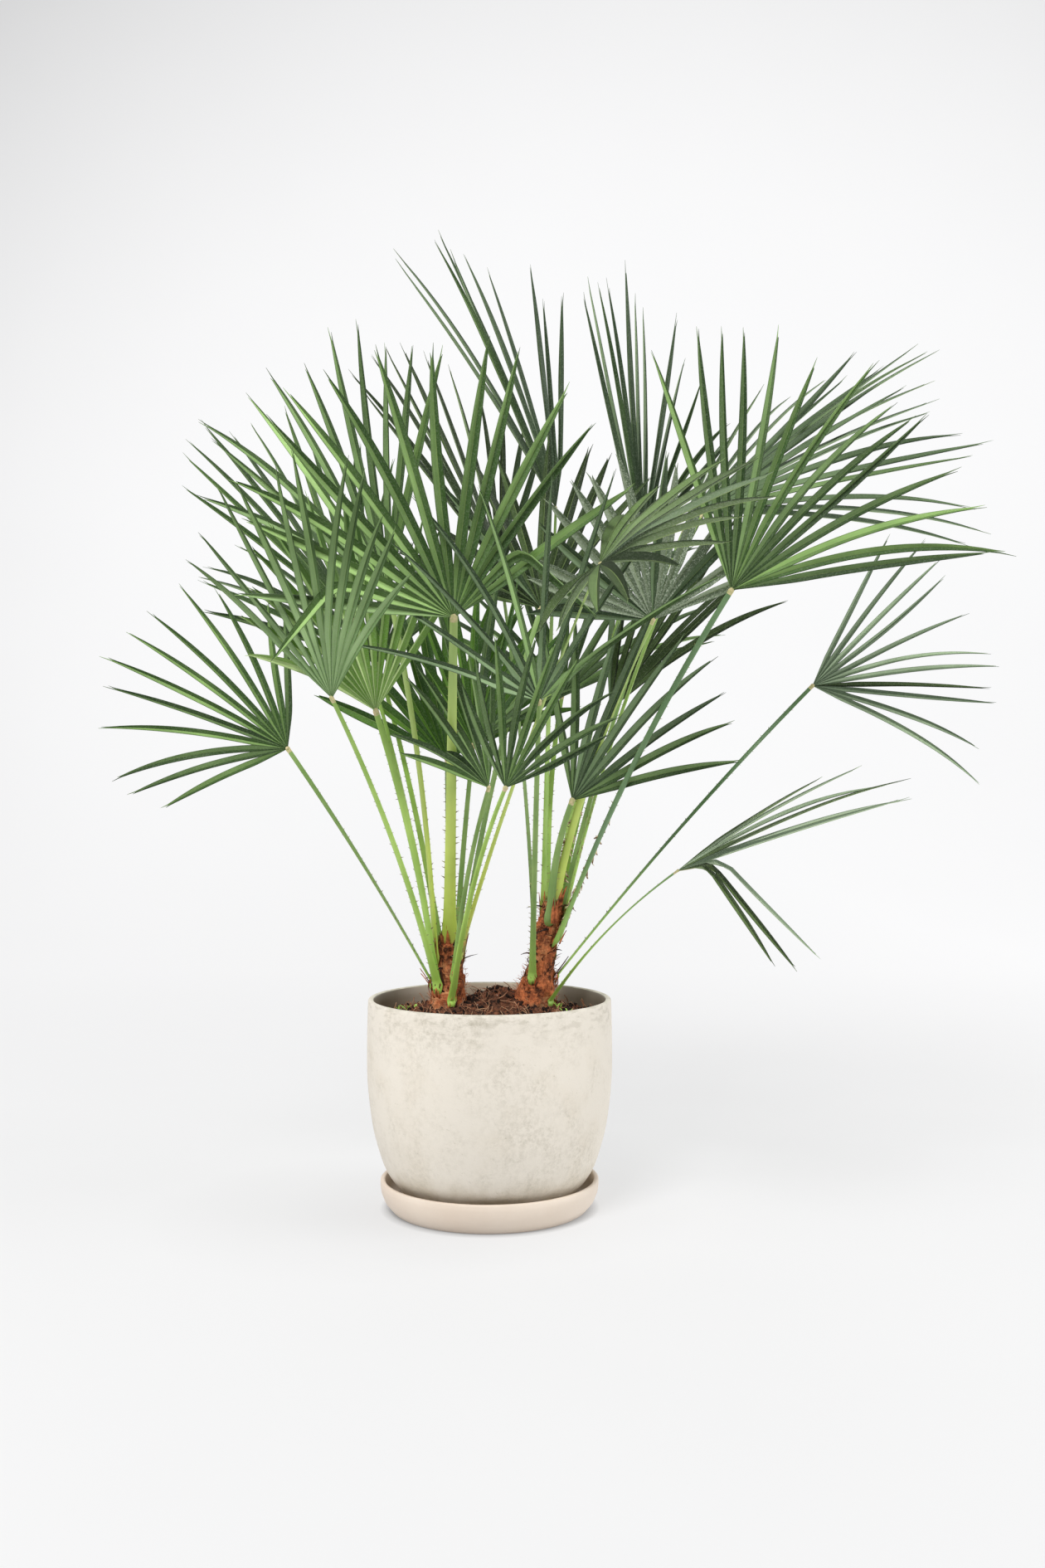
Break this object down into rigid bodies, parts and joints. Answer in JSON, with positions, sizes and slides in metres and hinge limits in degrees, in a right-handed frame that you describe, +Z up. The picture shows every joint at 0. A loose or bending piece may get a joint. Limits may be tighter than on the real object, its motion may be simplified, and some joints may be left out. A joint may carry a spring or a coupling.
{
  "type": "potted european fan palm",
  "caption": "Potted European fan palm: short fibre-clad trunks on a round pot and saucer, with tapering leaf stalks that end in pleated palmate fans.",
  "frame": {"origin": "centre of the saucer's flat underside, on the surface the plant stands on", "axes": "+Z up along the pot's axis, +X to the right of the picture, +Y away from its viewer"},
  "size_m": [1.0402, 0.8963, 1.1848],
  "materials": {
    "pot": "matt cream stoneware, mottled grey and finely pitted",
    "saucer": "matt beige-pink earthenware",
    "soil": "dark potting soil with coir and bark crumbs",
    "trunk": "reddish-brown fibre and old leaf bases",
    "stalk": "smooth green stalk, yellow-green at its base, with small spines",
    "fan": "pleated satin leaf, mid to dark green, some yellow-green"
  },
  "bodies": {
    "root": {"fan_left_01": "fan", "fan_left_02": "fan", "fan_left_03": "fan", "fan_left_04": "fan", "fan_left_05": "fan", "fan_left_06": "fan", "fan_left_07": "fan", "fan_left_08": "fan", "fan_left_09": "fan", "fan_left_10": "fan", "fan_left_11": "fan", "fan_left_12": "fan", "fan_left_13": "fan", "fan_right_01": "fan", "fan_right_02": "fan", "fan_right_03": "fan", "fan_right_04": "fan", "fan_right_05": "fan", "fan_right_06": "fan", "fan_right_07": "fan", "fan_right_08": "fan", "fan_right_09": "fan", "fan_right_10": "fan", "fan_right_11": "fan", "fan_right_12": "fan", "fan_right_13": "fan", "pot": "pot", "saucer": "saucer", "soil": "soil", "stalk_left_01": "stalk", "stalk_left_02": "stalk", "stalk_left_03": "stalk", "stalk_left_04": "stalk", "stalk_left_05": "stalk", "stalk_left_06": "stalk", "stalk_left_07": "stalk", "stalk_left_08": "stalk", "stalk_left_09": "stalk", "stalk_left_10": "stalk", "stalk_left_11": "stalk", "stalk_left_12": "stalk", "stalk_left_13": "stalk", "stalk_right_01": "stalk", "stalk_right_02": "stalk", "stalk_right_03": "stalk", "stalk_right_04": "stalk", "stalk_right_05": "stalk", "stalk_right_06": "stalk", "stalk_right_07": "stalk", "stalk_right_08": "stalk", "stalk_right_09": "stalk", "stalk_right_10": "stalk", "stalk_right_11": "stalk", "stalk_right_12": "stalk", "stalk_right_13": "stalk", "trunk_left": "trunk", "trunk_right": "trunk"}
  },
  "joints": []
}
